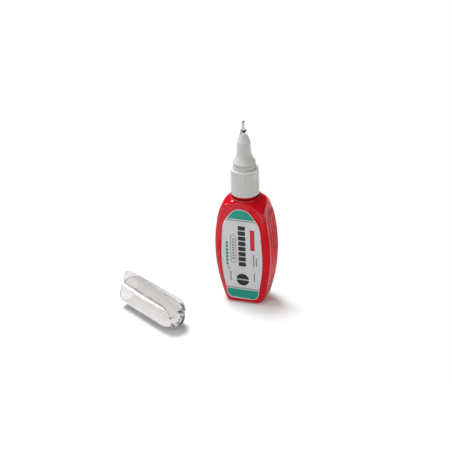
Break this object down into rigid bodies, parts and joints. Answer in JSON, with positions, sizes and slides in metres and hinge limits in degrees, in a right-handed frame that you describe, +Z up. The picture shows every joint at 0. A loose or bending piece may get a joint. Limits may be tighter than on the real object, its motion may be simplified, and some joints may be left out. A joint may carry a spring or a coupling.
{
  "type": "correction pen",
  "caption": "Squeeze-bottle correction pen with a ribbed collar, a tapered nozzle and a fine sprung metal tip, with its clear clip cap lying beside it.",
  "frame": {"origin": "middle of the bottle's base, on the surface it stands on", "axes": "+Z up along the bottle to the tip, +X across the label to the reader's right, the front label faces -Y"},
  "size_m": [0.0793, 0.0609, 0.1053],
  "materials": {
    "bottle_plastic": "gloss",
    "label_film": "satin",
    "white_plastic": "matte",
    "seal_rubber": "matte",
    "bright_metal": "polished",
    "steel": "satin",
    "brass": "turned",
    "clear_plastic": "gloss"
  },
  "bodies": {
    "pen": {"bottle": "bottle_plastic", "front_label": "label_film", "back_label": "label_film", "collar": "white_plastic", "neck_seal": "seal_rubber", "nozzle": "white_plastic", "tip_ferrule": "bright_metal", "tip_tube": "steel", "spring_seat": "white_plastic", "valve_spring": "steel", "mixing_ball": "steel", "cap": "clear_plastic"},
    "valve": {"valve_pin": "steel", "valve_head": "brass"}
  },
  "joints": [
    {"name": "tip_valve", "type": "slide", "parent": "pen", "child": "valve", "axis": [0, 0, -1], "range_m": [0, 0.00025], "stiffness_N_per_m": 150, "springref_m": -0.002, "deforming": ["valve_spring"]}
  ]
}
